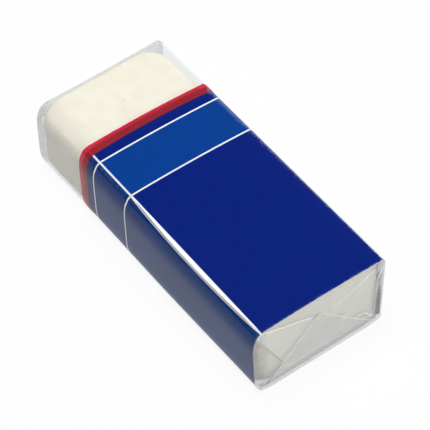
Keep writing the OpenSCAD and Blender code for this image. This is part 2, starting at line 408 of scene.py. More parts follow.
COURSE = [
    (BARE_END_X, bare_section(0.2, END_ARCH)), (BEFORE_END_X, bare_section(0.87, 0.0)),
    (BARE_X, bare_section(0.0, 0.0)), (SLEEVE_X, sleeve_section(SIDE_TUCK)),
    (MIDWAY_X, sleeve_section(SIDE_TUCK)), (MOUTH_X, sleeve_section(MOUTH_TUCK))]


def section_at(x):
    """The section between the two nearest, drawn in at its top and at -Y towards the bare end."""
    x = min(max(x, BARE_END_X), MOUTH_X)
    for (x0, before), (x1, after) in zip(COURSE, COURSE[1:]):
        if x <= x1:
            share = (x - x0) / (x1 - x0)
            width, height, *bends, middle, bottom = (a + (b - a) * share for a, b in zip(before, after))
            to_round = END_ROUND - min(x - BARE_END_X, END_ROUND)
            inset = END_ROUND - math.sqrt(END_ROUND ** 2 - to_round ** 2)
            return [width - inset, height - inset, *bends, middle + inset / 2, bottom]


print("card, mm:", CARD_W, "by", CARD_H, "and sections at x:", [x for x, section in COURSE])

# %% From a plain tube onto the pack
ROWS_ACROSS, ROWS_UP = 14, 12
FACING = 0.9  # A face looks along an axis where its normal has at least this much of it.


def at_end(face):
    return abs(face.normal.x) > FACING


def not_at_end(face):
    return not at_end(face)


def plain_corners(x0, x1, rise):
    """The corners of a plain box round the card, at a rise outside it."""
    return (
        (x0, CARD_MIDDLE - CARD_W / 2 - rise, CARD_BOTTOM - rise),
        (x1, CARD_MIDDLE + CARD_W / 2 + rise, CARD_BOTTOM + CARD_H + rise))


def add_tube(name, x0, x1, rise, open_ends=True):
    """A plain tube with creased edges round the card, ready to be cut and moved onto the pack."""
    low, high = plain_corners(x0, x1, rise)
    piece = add_box(name, low, high)
    if open_ends:
        pick("FACE", at_end)
        bpy.ops.mesh.delete(type="FACE")
    pick("EDGE", lambda edge: runs_along(edge, 0))
    inner = CREASE_R + rise
    bpy.ops.mesh.bevel(offset=inner * MM, segments=5, affect="EDGES")
    cut(1, spread(low[1] + inner, high[1] - inner, ROWS_ACROSS))
    cut(2, spread(low[2] + inner, high[2] - inner, ROWS_UP))
    return piece


def on_pack(point, rise):
    """Where a point of that plain box comes to lie on the real pack."""
    width, height, bulge, arch, tuck, middle, bottom = section_at(point.x)
    across = (point.y - CARD_MIDDLE) / (CARD_W / 2 + rise)
    up = (point.z - CARD_BOTTOM + rise) / (CARD_H + 2 * rise)
    y = middle + across * (width / 2 + rise) + tuck * (1 - up) * (0.5 - across / 2)
    y -= max(-across, 0) * bulge * (1 - abs(2 * up - 1) ** BULGE_POWER)
    z = bottom - rise + up * (height + 2 * rise) + arch * (1 - across ** 2) * max(2 * up - 1, 0)
    return Vector((point.x, y, z))


def bow_at(y):
    """How far the back edge of the card and the tape bow towards the bare end, most in the middle."""
    return BACK_BOW * (1 - ((y - CARD_MIDDLE) / (CARD_W / 2)) ** 2)


top_middle = Vector((0, CARD_MIDDLE, CARD_TOP))
print("top of the card in its middle, mm:", round(on_pack(top_middle, 0).z, 2))

# %% [markdown]
# ## The card sleeve
# The sleeve is one strip of card folded round the block and glued along a flap inside the hidden narrow
# side. It is modelled as the outer face of the card: the tube loses the strip below the cut edge of its
# outer panel, the free edge of the bottom panel is spun up into the last fold, and the flap is extruded from
# it. A Solidify modifier then gives the thickness inwards, with the raw board as a second material on the
# inside and on the cut edges.

# %% Card: tube, last fold and glue flap
CARD_T, CUT_EDGE_Z, FLAP_TOP_Z, FLAP_GAP = 0.25, 0.73, 9.1, 0.02
END_ROW = 0.3
card_low, card_high = (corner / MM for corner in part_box("card_sleeve"))
first_x, last_x = card_low.x + END_ROW, card_high.x - END_ROW
panel_y = CARD_MIDDLE + CARD_W / 2
fold_y = panel_y - CREASE_R
fold_r = CREASE_R - CARD_T - FLAP_GAP

card = add_tube("card_sleeve_print", card_low.x, card_high.x, 0)
cut(0, [first_x, *spread(first_x, last_x, 30), last_x])
cut(2, [CUT_EDGE_Z], lambda face: face.normal.y > 0.5)
pick("FACE", lambda face: face.calc_center_median().y > fold_y * MM
     and face.calc_center_median().z < CUT_EDGE_Z * MM)
bpy.ops.mesh.delete(type="FACE")
pick("EDGE", lambda edge: runs_along(edge, 0) and all(
    abs(v.co.y / MM - fold_y) < NEAR and v.co.z / MM < CARD_BOTTOM + NEAR for v in edge.verts))
bpy.ops.mesh.spin(
    steps=4, angle=math.radians(90), center=(0, fold_y * MM, (CARD_BOTTOM + fold_r) * MM), axis=(1, 0, 0))
bpy.ops.mesh.extrude_region_move(
    TRANSFORM_OT_translate={"value": (0, 0, (FLAP_TOP_Z - CARD_BOTTOM - fold_r) * MM)})
bpy.ops.mesh.select_all(action="SELECT")
bpy.ops.mesh.remove_doubles(threshold=0.001 * MM)
bpy.ops.mesh.normals_make_consistent(inside=False)
bpy.ops.object.mode_set(mode="OBJECT")
print("card, one face thick:", len(card.data.polygons), "faces")

# %% Card: onto the pack, with slightly wavy panels and cut edges
PANEL_DEPTH, PANEL_WAVE = 0.02, 9
FRAY_DEPTH, FRAY_SCALE, FRAY_SLICE, END_ZONE = 0.03, 0.9, 7, 0.1


def lay_card(point):
    """The real form, with slight waves in the panels and in the two cut ends."""
    moved = on_pack(point, 0)
    wave = noise.noise(point / PANEL_WAVE)
    fray = noise.noise(Vector((point.y, point.z, FRAY_SLICE)) * FRAY_SCALE)
    towards = Vector((0, CARD_MIDDLE - moved.y, HALFWAY_UP - moved.z)).normalized()
    moved += towards * PANEL_DEPTH * (0.5 + 0.5 * wave)
    if point.x < card_low.x + END_ZONE or point.x > card_high.x - END_ZONE:
        moved.x -= math.copysign(FRAY_DEPTH, point.x) * (0.5 + 0.5 * fray)
    if point.x < card_low.x + END_ZONE and point.z > HALFWAY_UP:
        moved.x -= bow_at(point.y)
    return moved


reshape(card, lay_card)
for _ in ("printed outside", "raw inside"):
    bpy.ops.object.material_slot_add()
apply_modifier(
    card, "SOLIDIFY", thickness=CARD_T * MM, offset=-1, use_even_offset=True,
    material_offset=1, material_offset_rim=1)
reshape(card, lambda point: (point.x, point.y, max(point.z, CARD_BOTTOM)))
smooth(card, 35)

# %% [markdown]
# ## The tear tape
# A narrow red ribbon of film runs round the pack over the sleeve's back edge, between the card and the
# overwrap. Pulling its tab, which comes out above the long seam, tears the wrap open. It is a short tube
# round the card, thin as foil, with a small flat tab beside it.

# %% Tape: ribbon and pull tab
TAPE_RISE, TAPE_T = 0.06, 0.04
TAB_RISE, TAB_LEN, TAB_CURL, TAB_GAP = 0.17, 3.0, 0.1, 0.02
SEAM_LOW_Z, SEAM_TOP_Z = 4.13, 9.13
# Rows lie closer where tape and tab step down from the sleeve.
TAPE_ROWS = [-15.3, SLEEVE_X, -14.8, -14.2]
TAB_ROWS = [-15.3, SLEEVE_X, -14.2]
tape_low, tape_high = (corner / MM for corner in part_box("tear_tape"))

tape = add_tube("red_tear_tape", tape_low.x, tape_high.x, TAPE_RISE)
cut(0, TAPE_ROWS)
bpy.ops.object.mode_set(mode="OBJECT")


def lay_tape(point):
    """The form of the pack, with the tape bowed across the top."""
    moved = on_pack(point, TAPE_RISE)
    if point.z > HALFWAY_UP:
        moved.x -= bow_at(point.y)
    return moved


def curl_tab(point):
    """The tab follows the side of the pack, and its free end lifts a little."""
    moved = on_pack(point, TAB_RISE)
    lift = (point.z - SEAM_TOP_Z) / TAB_LEN
    moved.y += TAB_CURL * lift ** 2
    return moved


reshape(tape, lay_tape)
apply_modifier(tape, "SOLIDIFY", thickness=TAPE_T * MM, offset=-1, use_even_offset=True)

tab_y = panel_y + TAB_RISE
tab = add_box(
    "tab", (tape_low.x, tab_y - TAPE_T, SEAM_TOP_Z + TAB_GAP), (tape_high.x, tab_y, SEAM_TOP_Z + TAB_LEN))
cut(0, TAB_ROWS)
cut(2, spread(SEAM_TOP_Z, SEAM_TOP_Z + TAB_LEN, 6))
bpy.ops.object.mode_set(mode="OBJECT")
reshape(tab, curl_tab)
tape.select_set(True)
bpy.context.view_layer.objects.active = tape
bpy.ops.object.join()
smooth(tape, 35)

# %% [markdown]
# ## The film overwrap
# The film is a tube of clear plastic, lapped and sealed along the hidden side and folded shut at each end
# like an envelope: the sides are tucked in, the top flap comes down over them, and the bottom flap comes up
# over the top one. On the real pack these folds show as fine lines and as facets that catch the light
# differently. The film is modelled as its outer face. The fold lines are cut into the end faces, each with a
# twin a hair's breadth away, so that a flap can stand a film's thickness above what it covers, with a crisp
# edge.

# %% Film: box and cuts
FILM_RISE, FILM_T, STEP = 0.13, 0.05, 0.06
MOUTH_RIM = 0.12
film_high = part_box("film_wrap")[1] / MM
WALL_X = film_high.x - 2 * FILM_T
# Rows lie closer where the film steps down from the sleeve, and at both ends.
FILM_ROWS = [BEFORE_END_X, BARE_X, -15.74, SLEEVE_X, -13.6, WALL_X - MOUTH_RIM]
# The rows of the rounded bare end, as degrees round its arc.
ROUND_ROWS = range(12, 90, 13)

film = add_tube("clear_film_wrap", -WALL_X, WALL_X, FILM_RISE, open_ends=False)
cut(0, spread(-WALL_X, WALL_X, 40), not_at_end)
cut(0, FILM_ROWS, not_at_end)
for degrees in ROUND_ROWS:
    cut(0, [-WALL_X + END_ROUND * (1 - math.cos(math.radians(degrees)))], not_at_end)
cut(2, [SEAM_LOW_Z, SEAM_LOW_Z + STEP, SEAM_TOP_Z - STEP, SEAM_TOP_Z], lambda face: face.normal.y > FACING)
print("film, mm long:", round(2 * WALL_X, 2), "with its seam from z", SEAM_LOW_Z, "to", SEAM_TOP_Z)

# %% Film: fold lines of the ends
# Places on an end, in mm: along it from the crease at -Y, and up from the bottom of the card.
BOTTOM_FLAP = [(1.1, 0.3), (10.3, 10.5), (10.9, 10.5), (21.4, 0.3)]
TOP_FLAP = [(0.1, 11.8), (5.5, 1.6), (16.9, 1.6), (22.2, 13.0)]
PULLED = [((0.3, 13.8), (9.7, 10.5)), ((12.1, 10.2), (22.0, 13.4))]
RIDGE = 0.22


def edges_of(corners):
    return list(zip(corners, corners[1:]))


def distance_to(line, along, up):
    """How far a place on an end is to the right of a line, looking along it."""
    (a0, h0), (a1, h1) = line
    length = math.hypot(a1 - a0, h1 - h0)
    return ((along - a0) * (h1 - h0) - (up - h0) * (a1 - a0)) / length


def crease_y(along):
    return along + CARD_MIDDLE - CARD_W / 2


def cut_line(line, away):
    """Cuts the ends along a line on them, moved away to its right."""
    (a0, h0), (a1, h1) = line
    direction = Vector((0, h1 - h0, a0 - a1)).normalized()
    start = Vector((0, crease_y(a0), CARD_BOTTOM + h0)) + away * direction
    pick("FACE", at_end)
    bpy.ops.mesh.bisect(plane_co=start * MM, plane_no=direction)


for line in edges_of(BOTTOM_FLAP) + edges_of(TOP_FLAP)[::2]:
    cut_line(line, 0)
    cut_line(line, STEP if line in edges_of(BOTTOM_FLAP) else -STEP)
for line in PULLED:
    for away in (-RIDGE, 0, RIDGE):
        cut_line(line, away)
bpy.ops.mesh.select_all(action="SELECT")
bpy.ops.mesh.remove_doubles(threshold=0.004 * MM)
bpy.ops.object.mode_set(mode="OBJECT")
print("film, cut:", len(film.data.polygons), "faces")

# %% Film: the relief of an end
SAG_DEPTH, LAP, RIDGE_HEIGHT, FLAP_SAG = 0.16, 0.05, 0.05, 0.5
RIDGE_FADE = 8  # A pulled fold fades out over an eighth of its length at each end.


def within(corners, along, up, turn):
    """How far inside a flap a place is: 0 at its edge and 1 from a step's width inwards."""
    return clamp(min(turn * distance_to(line, along, up) for line in edges_of(corners)) / STEP)


def ridge_on(line, along, up):
    """1 on a pulled fold and 0 beside it, fading towards the fold's two ends."""
    (a0, h0), (a1, h1) = line
    share = ((along - a0) * (a1 - a0) + (up - h0) * (h1 - h0)) / ((a1 - a0) ** 2 + (h1 - h0) ** 2)
    beside = max(1 - abs(distance_to(line, along, up)) / RIDGE, 0)
    return beside * clamp(RIDGE_FADE * share) * clamp(RIDGE_FADE * (1 - share))


def end_relief(along, up):
    """How far the end stands out at a place, with its flaps, pulled folds and sag."""
    bottom = within(BOTTOM_FLAP, along, up, 1)
    top = within(TOP_FLAP, along, up, -1)
    ridge = RIDGE_HEIGHT * max(ridge_on(line, along, up) for line in PULLED)
    sag = SAG_DEPTH * math.sin(math.pi * clamp(along / CARD_W)) * math.sin(math.pi * clamp(up / CARD_H))
    return LAP * top * (1 - bottom) + 2 * LAP * bottom + ridge - sag * (1 - FLAP_SAG * bottom)


print("relief in the middle of the mouth, mm:", round(end_relief(CARD_W / 2, CARD_H / 2), 3))

# %% Film: how milky it is
# The painted haze: over the mouth, over its flap and its two sides, and then round the bare end, where its
# grey is partly milkiness of folded film and partly painted shade for the darker look of film seen edge-on.
UPPER_HAZE, FLAP_HAZE, SIDE_HAZE, SIDES = 0.12, 0.24, 0.5, (0.4, 21.5)
BARE_HAZE, BARE_CORNER_HAZE_AND_SHADE, BARE_SIDE_HAZE_AND_SHADE, OVER_SIDE_HAZE = 0.12, 0.22, 0.38, 0.1
BACK_CORNER_Y = CARD_MIDDLE + 0.36 * CARD_W
corner_y, corner_z = CARD_MIDDLE - CARD_W / 2 + CREASE_R, CARD_TOP - CREASE_R


def mouth_haze(along, up):
    """How milky the layers over the mouth are: most at its two sides, then on the bottom flap."""
    if not SIDES[0] < along < SIDES[1]:
        return SIDE_HAZE
    return UPPER_HAZE + (FLAP_HAZE - UPPER_HAZE) * within(BOTTOM_FLAP, along, up, 1)


def bare_haze_and_shade(y):
    """How milky the film is round the bare end, its grey partly painted shade for film seen edge-on: most on
    the side at -Y, and more at the corner at +Y.
    """
    if y < corner_y:
        return BARE_SIDE_HAZE_AND_SHADE
    return BARE_CORNER_HAZE_AND_SHADE if y > BACK_CORNER_Y else BARE_HAZE


print("haze in the middle of the mouth:", mouth_haze(CARD_W / 2, CARD_H / 2))

# %% Film: onto the pack, with its haze painted on
FILM_LEAN, LEAN_REACH = 0.035, 3.5


def lean_of(moved):
    """How far the top of the bare end leans in, more towards -Y."""
    to_end = clamp((BARE_END_X + LEAN_REACH - moved.x) / LEAN_REACH)
    return FILM_LEAN * to_end * max(LEAN_Y - moved.y, 0) * max(moved.z - CARD_BOTTOM, 0) / CARD_H


film.data.attributes.new("haze", "FLOAT", "POINT")
film.data.attributes.new("mouth", "FLOAT", "POINT")
haze, at_mouth = film.data.attributes["haze"], film.data.attributes["mouth"]
shaped = []
for vertex, mark, mouth_mark in zip(film.data.vertices, haze.data, at_mouth.data):
    point = vertex.co / MM
    moved = on_pack(point, FILM_RISE)
    lean = lean_of(moved)
    if abs(point.x) > WALL_X - NEAR:
        place = point.y - crease_y(0), point.z - CARD_BOTTOM
        moved.x += math.copysign(end_relief(*place), point.x)
        mark.value = mouth_haze(*place) if point.x > 0 else bare_haze_and_shade(point.y)
        mouth_mark.value = float(point.x > 0)
    elif point.x < END_ROUND - WALL_X:
        mark.value = bare_haze_and_shade(point.y)
    elif point.x < BARE_X + NEAR and point.y < corner_y and point.z < corner_z:
        mark.value = OVER_SIDE_HAZE
    elif point.y > panel_y and SEAM_LOW_Z + STEP / 2 < point.z < SEAM_TOP_Z - STEP / 2:
        moved.y += LAP
    moved.x += lean
    shaped.append(moved * MM)
for vertex, place in zip(film.data.vertices, shaped):
    vertex.co = place
apply_modifier(film, "SOLIDIFY", thickness=FILM_T * MM, offset=-1)
smooth(film, 25)

# %% [markdown]
# ## Shared effects
# Three effects are used again and again, so each is a node group that is built once: a fine grain for
# surfaces that are not quite even, flecks of dust or wear, and a mark along a fold line that carries its
# painted highlight or painted shadow.

# %% Group helpers
def new_group(name, inputs, outputs):
    """A shader node group with named inputs, which are numbers or vectors, and named number outputs."""
    group = bpy.data.node_groups.new(name, "ShaderNodeTree")
    group.interface.new_socket("Place", in_out="INPUT", socket_type="NodeSocketVector")
    for label, value in inputs.items():
        kind = "NodeSocketVector" if isinstance(value, tuple) else "NodeSocketFloat"
        socket = group.interface.new_socket(label, in_out="INPUT", socket_type=kind)
        socket.default_value = value
    for label in outputs:
        group.interface.new_socket(label, in_out="OUTPUT", socket_type="NodeSocketFloat")
    return group, group.nodes.new("NodeGroupInput").outputs, group.nodes.new("NodeGroupOutput").inputs


def use_group(tree, group, feeds):
    """Places a group in a material with its own values."""
    node = tree.nodes.new("ShaderNodeGroup")
    node.node_tree = group
    feed(tree, node, feeds)
    return node.outputs


def vector_sum(tree, operation, first, second):
    """One sum with two vectors, whose result is a vector or, as for a dot product, a value."""
    outputs = wire(tree, "VectorMath", {0: first, 1: second}, operation=operation).outputs
    return outputs[1] if operation in ("DOT_PRODUCT", "LENGTH") else outputs[0]

# %% Fine grain and flecks
CLOUD_SIZE = 14.0
FLECK_LEVEL, FLECK_SPAN, FLECK_SOFT = 0.75, 0.5, 0.04

grain_group, given, result = new_group(
    "fine_grain", {"Scale": 4000.0, "Detail": 3.0}, ["Grain", "Cloud"])
fine = wire(grain_group, "TexNoise", {
    "Vector": given["Place"], "Scale": given["Scale"], "Detail": given["Detail"], "Roughness": 0.6})
broad_scale = calc(grain_group, "DIVIDE", given["Scale"], CLOUD_SIZE)
broad = wire(grain_group, "TexNoise", {"Vector": given["Place"], "Scale": broad_scale, "Detail": 2.0})
grain_group.links.new(fine.outputs["Fac"], result["Grain"])
grain_group.links.new(broad.outputs["Fac"], result["Cloud"])

fleck_group, given, result = new_group("flecks", {"Scale": 900.0, "Share": 0.2}, ["Flecks"])
cells = wire(fleck_group, "TexNoise", {"Vector": given["Place"], "Scale": given["Scale"], "Detail": 4.0})
limit = calc(fleck_group, "SUBTRACT", FLECK_LEVEL, product(fleck_group, given["Share"], FLECK_SPAN))
flecks = fade(fleck_group, cells.outputs["Fac"], limit, calc(fleck_group, "ADD", limit, FLECK_SOFT))
fleck_group.links.new(flecks, result["Flecks"])
print("groups:", grain_group.name, "and", fleck_group.name)

# %% Painted fold mark
# The mark, used for the painted highlights and painted shadows of folds, is strongest on the line between
# two places on an end, and its edges are soft.
CORE_SHARE = 0.2

painted_fold_group, given, result = new_group(
    "painted_fold_mark", {"From": (0.0, 0.0, 0.0), "To": (0.0, 0.0, 0.0), "Width": 0.3 * MM, "Strength": 0.5},
    ["Mark"])
flat = vector_sum(painted_fold_group, "MULTIPLY", given["Place"], (0, 1, 1))
run = vector_sum(painted_fold_group, "SUBTRACT", given["To"], given["From"])
reach = vector_sum(painted_fold_group, "SUBTRACT", flat, given["From"])
share = calc(
    painted_fold_group, "DIVIDE", vector_sum(painted_fold_group, "DOT_PRODUCT", reach, run),
    vector_sum(painted_fold_group, "DOT_PRODUCT", run, run))
share = wire(painted_fold_group, "Clamp", {"Value": share}).outputs[0]
nearest = wire(painted_fold_group, "VectorMath", {0: run, 3: share}, operation="SCALE").outputs[0]
away = vector_sum(painted_fold_group, "LENGTH", vector_sum(painted_fold_group, "SUBTRACT", reach, nearest), (0, 0, 0))
half = product(painted_fold_group, given["Width"], 0.5)
mark = fade(painted_fold_group, away, half, product(painted_fold_group, half, CORE_SHARE))
painted_fold_group.links.new(product(painted_fold_group, mark, given["Strength"]), result["Mark"])
print("fold mark:", len(painted_fold_group.nodes), "nodes")

# %% [markdown]
# ## Cream rubber
# Soft vinyl rubber is a warm, nearly white, matt and slightly waxy material. Its colour is clouded a little,
# light goes a short way into it, and a fine grain keeps its faint sheen from looking like plastic.

# %% Rubber material
CREAM, DEEP_CREAM, SPECK = rgb(0.95, 0.885, 0.75), rgb(0.92, 0.85, 0.70), rgb(0.62, 0.56, 0.46)

cream, tree, output = new_material("cream_rubber")
*_, place = place_of(tree)
grain = use_group(tree, grain_group, {"Place": place, "Scale": 5200.0})
specks = use_group(tree, fleck_group, {"Place": place, "Scale": 1500.0, "Share": 0.16})
colour = blend_colours(tree, fade(tree, grain["Cloud"], 0.35, 0.65), CREAM, DEEP_CREAM)
colour = blend_colours(tree, product(tree, specks["Flecks"], 0.35), colour, SPECK)
rough = wire(tree, "MapRange", {"Value": grain["Grain"], "To Min": 0.52, "To Max": 0.72}).outputs[0]
bump = wire(tree, "Bump", {"Height": grain["Grain"], "Distance": 0.02 * MM, "Strength": 0.5})
shader = wire(tree, "BsdfPrincipled", {
    "Base Color": colour, "Roughness": rough, "Normal": bump.outputs[0],
    "Subsurface Weight": 0.12, "Subsurface Scale": 0.6 * MM, "Specular IOR Level": 0.4})
tree.links.new(shader.outputs[0], output.inputs["Surface"])
rubber.data.materials.append(cream)
print("rubber:", len(tree.nodes), "nodes")

# %% [markdown]
# ## Printed card
# The card is printed all over in dark blue. On the top a brighter blue field lies between two fine white
# lines that run round the sleeve, and another white line follows the long crease on the bulged side. The
# masks are made from the place along, across and up the sleeve, so the print stays on the card from every
# side. The ink is worn along the creases and at the cut ends, where the white of the board shows through.

# %% Print: ink, the brighter field and a painted sheen on the sides
LINES_X = (-11.85, -3.62)
NAVY, LIGHT_NAVY = rgb(0.0004, 0.0130, 0.186), rgb(0.0006, 0.0155, 0.202)
# On the sides the blue is greener: a painted reflection, standing in for the cyan sheen of the film over
# them.
SIDE_NAVY_PAINTED_SHEEN, LIGHT_SIDE_PAINTED_SHEEN = rgb(0.0003, 0.032, 0.172), rgb(0.0005, 0.036, 0.188)
FIELD_BLUE = rgb(0.0003, 0.048, 0.285)

ink, tree, output = new_material("printed_card")
x, y, z, place = place_of(tree)
grain = use_group(tree, grain_group, {"Place": place, "Scale": 9000.0})
cloud = fade(tree, grain["Cloud"], 0.3, 0.7)
on_top = fade_mm(tree, z, CARD_TOP - 0.25, CARD_TOP - 0.05)
field = product(tree, strip(tree, x, sum(LINES_X) / 2, LINES_X[1] - LINES_X[0], 0.05), on_top)
side_ink_with_painted_sheen = blend_colours(tree, cloud, SIDE_NAVY_PAINTED_SHEEN, LIGHT_SIDE_PAINTED_SHEEN)
colour = blend_colours(tree, cloud, NAVY, LIGHT_NAVY)
colour = blend_colours(tree, on_top, side_ink_with_painted_sheen, colour)
colour = blend_colours(tree, field, colour, FIELD_BLUE)
print("brighter field between x, mm:", LINES_X)

# %% Print: white lines and wear
LINE_W, CREASE_LINE_Y = 0.28, CARD_MIDDLE - CARD_W / 2 + 0.2
LINE_WHITE, WORN_INK = rgb(0.9, 0.91, 0.93), rgb(0.45, 0.48, 0.55)
WORN_ENDS, CREASE_WEAR, WEAR_SHARE = 0.4, 0.3, 0.3

white = calc(tree, "MAXIMUM", *(strip(tree, x, line_x, LINE_W, 0.06) for line_x in LINES_X))
high = fade_mm(tree, z, CARD_TOP - 0.6, CARD_TOP - 0.4)
on_crease = product(tree, strip(tree, y, CREASE_LINE_Y, LINE_W, 0.08), high)
colour = blend_colours(tree, calc(tree, "MAXIMUM", white, on_crease), colour, LINE_WHITE)
cut_ends = calc(
    tree, "MAXIMUM", fade_mm(tree, x, card_high.x - WORN_ENDS, card_high.x),
    fade_mm(tree, x, card_low.x + WORN_ENDS, card_low.x))
from_middle = calc(tree, "ABSOLUTE", calc(tree, "SUBTRACT", y, CARD_MIDDLE * MM))
creases = product(tree, high, fade_mm(tree, from_middle, CARD_W / 2 - 0.6, CARD_W / 2 - 0.1), CREASE_WEAR)
wear = use_group(tree, fleck_group, {"Place": place, "Scale": 2600.0, "Share": 0.5})
worn = product(tree, wear["Flecks"], calc(tree, "MAXIMUM", cut_ends, creases))
colour = blend_colours(tree, product(tree, worn, WEAR_SHARE), colour, WORN_INK)
rough = wire(tree, "MapRange", {"Value": grain["Cloud"], "To Min": 0.38, "To Max": 0.5}).outputs[0]
bump = wire(tree, "Bump", {"Height": grain["Grain"], "Distance": 0.01 * MM, "Strength": 0.12})
shader = wire(tree, "BsdfPrincipled", {
    "Base Color": colour, "Roughness": rough, "Normal": bump.outputs[0], "Specular IOR Level": 0.01})
tree.links.new(shader.outputs[0], output.inputs["Surface"])
print("print:", len(tree.nodes), "nodes")

# %% Raw board material
GREY_BOARD, WHITE_BOARD = rgb(0.70, 0.69, 0.66), rgb(0.82, 0.81, 0.79)

board, tree, output = new_material("raw_board")
*_, place = place_of(tree)
fibres = wire(tree, "Mapping", {"Vector": place, "Scale": (0.15, 1.0, 1.0)}).outputs[0]
grain = use_group(tree, grain_group, {"Place": fibres, "Scale": 7000.0})
colour = blend_colours(tree, grain["Grain"], GREY_BOARD, WHITE_BOARD)
bump = wire(tree, "Bump", {"Height": grain["Grain"], "Distance": 0.02 * MM, "Strength": 0.6})
shader = wire(tree, "BsdfPrincipled", {"Base Color": colour, "Roughness": 0.85, "Normal": bump.outputs[0]})
tree.links.new(shader.outputs[0], output.inputs["Surface"])
card.material_slots[0].material = ink
card.material_slots[1].material = board
print("raw board on", sum(face.material_index == 1 for face in card.data.polygons), "faces")

# %% [markdown]
# ## Red tape
# The tape is dyed film: part of the light comes back red from its face, and part goes through it, tinted, to
# the rubber or card below. So it looks bright red over the cream rubber and dark red over the blue card. A
# Mix Shader of a glossy red and a red transparency does both.

# %% Tape material
TAPE_RED, DEEP_RED = rgb(0.78, 0.062, 0.100), rgb(0.68, 0.055, 0.088)
RED_LIGHT, DYE_SHARE = rgb(0.93, 0.145, 0.34), 0.3

dyed, tree, output = new_material("red_film")
*_, place = place_of(tree)
grain = use_group(tree, grain_group, {"Place": place, "Scale": 3000.0})
colour = blend_colours(tree, fade(tree, grain["Cloud"], 0.3, 0.7), TAPE_RED, DEEP_RED)
bump = wire(tree, "Bump", {"Height": grain["Cloud"], "Distance": 0.02 * MM, "Strength": 0.4})
gloss = wire(tree, "BsdfPrincipled", {
    "Base Color": colour, "Roughness": 0.35, "Specular IOR Level": 0.2, "Normal": bump.outputs[0]})
clear = wire(tree, "BsdfTransparent", {"Color": RED_LIGHT})
both = wire(tree, "MixShader", {0: DYE_SHARE, 1: clear.outputs[0], 2: gloss.outputs[0]})
tree.links.new(both.outputs[0], output.inputs["Surface"])
tape.data.materials.append(dyed)
print("tape:", len(tree.nodes), "nodes")

# %% [markdown]
# ## Clear film
# The film is too thin to bend what is seen through it, so it is a Transparent shader under a mirror whose
# share grows towards grazing angles by the Fresnel law. Only faces that point at the viewer mirror, because
# from inside the law would turn the film opaque. Where it lies in layers it turns milky, by the haze that
# was painted on the mesh: grey where that is thin, and white where it is thick.
# Over the mouth each sharp fold also leaves a mark: light where the film is pulled tight, partly its
# whitening and partly a painted highlight, and a painted shadow where an edge lies over a hollow. The tucked
# side and the gap beside the rubber get painted shade, the lower part of the mouth gets painted light, and
# along the bottom the folded layers make a white ledge. Stretched over the long crease at -Y, the film gets
# a slim painted gleam.

# %% Film material: the painted marks of the folds on the mouth
# Each fold: its two ends as places on the mouth, then the width of its mark in mm and its strength.
# Light marks: partly the whitening of creased film and partly painted highlights on the folds.
FOLD_WHITENING_AND_HIGHLIGHTS = [
    ((0.0, 14.0), (9.7, 10.5), 0.40, 0.75), ((10.5, 10.6), (1.7, 1.0), 0.45, 0.34),
    ((10.9, 10.6), (17.4, 4.0), 0.35, 0.28), ((17.4, 4.0), (21.0, 0.7), 0.40, 0.55),
    ((12.1, 10.1), (15.7, 10.4), 0.35, 0.30), ((15.7, 10.4), (22.1, 13.6), 0.35, 0.42),
    ((17.4, 4.0), (19.4, 3.9), 0.40, 0.60), ((19.4, 3.9), (20.9, 1.8), 0.40, 0.60),
    ((21.4, 10.1), (22.4, 12.2), 0.40, 0.70)]
TUCK = [(0.2, 11.6), (4.1, 4.1), (1.7, 2.4), (-0.4, 3.4)]
# Dark marks: painted shadows where an edge lies over a hollow.
PAINTED_SHADOW_FOLDS = [
    ((9.6, 10.35), (10.5, 10.5), 0.50, 0.55), ((9.9, 10.3), (1.2, 0.9), 0.55, 0.24),
    (TUCK[0], TUCK[1], 0.50, 0.26), (TUCK[1], TUCK[2], 0.50, 0.40), (TUCK[2], TUCK[3], 0.45, 0.60)]


def marks(tree, place, folds):
    """The strongest mark of several folds."""
    most = 0.0
    for start, end, width, strength in folds:
        ends = [(0.0, crease_y(along) * MM, (CARD_BOTTOM + up) * MM) for along, up in (start, end)]
        feeds = {"Place": place, "From": ends[0], "To": ends[1], "Width": width * MM, "Strength": strength}
        most = calc(tree, "MAXIMUM", most, use_group(tree, painted_fold_group, feeds)["Mark"])
    return most


def inside(tree, y, z, corners, soft=0.1):
    """A mask of the places on an end that lie to the right of every line between the corners."""
    share = 1.0
    for (a0, h0), (a1, h1) in edges_of(corners):
        length = math.hypot(a1 - a0, h1 - h0)
        slope_y, slope_z = (h1 - h0) / length, (a0 - a1) / length
        start = crease_y(a0) * slope_y + (CARD_BOTTOM + h0) * slope_z
        depth = calc(tree, "ADD", product(tree, y, slope_y), product(tree, z, slope_z))
        share = product(tree, share, fade_mm(tree, depth, start - soft, start + soft))
    return share


print("fold marks:", len(FOLD_WHITENING_AND_HIGHLIGHTS), "light and", len(PAINTED_SHADOW_FOLDS), "painted_shade")

# %% Film material: the painted gleam on the crease
# Its two ends along the pack, and in mm over the crease its straight upper edge and its greatest width.
GLEAM_X, GLEAM_TOP, GLEAM_W = (-4.2, 28.6), 0.27, 0.62
# The thin second line below it: how far below, its width, its softness and its brightness.
SECOND_AWAY, SECOND_W, SECOND_SOFT, SECOND_SHARE = 0.19, 0.09, 0.05, 0.8
GLEAM_SOFT = 0.04


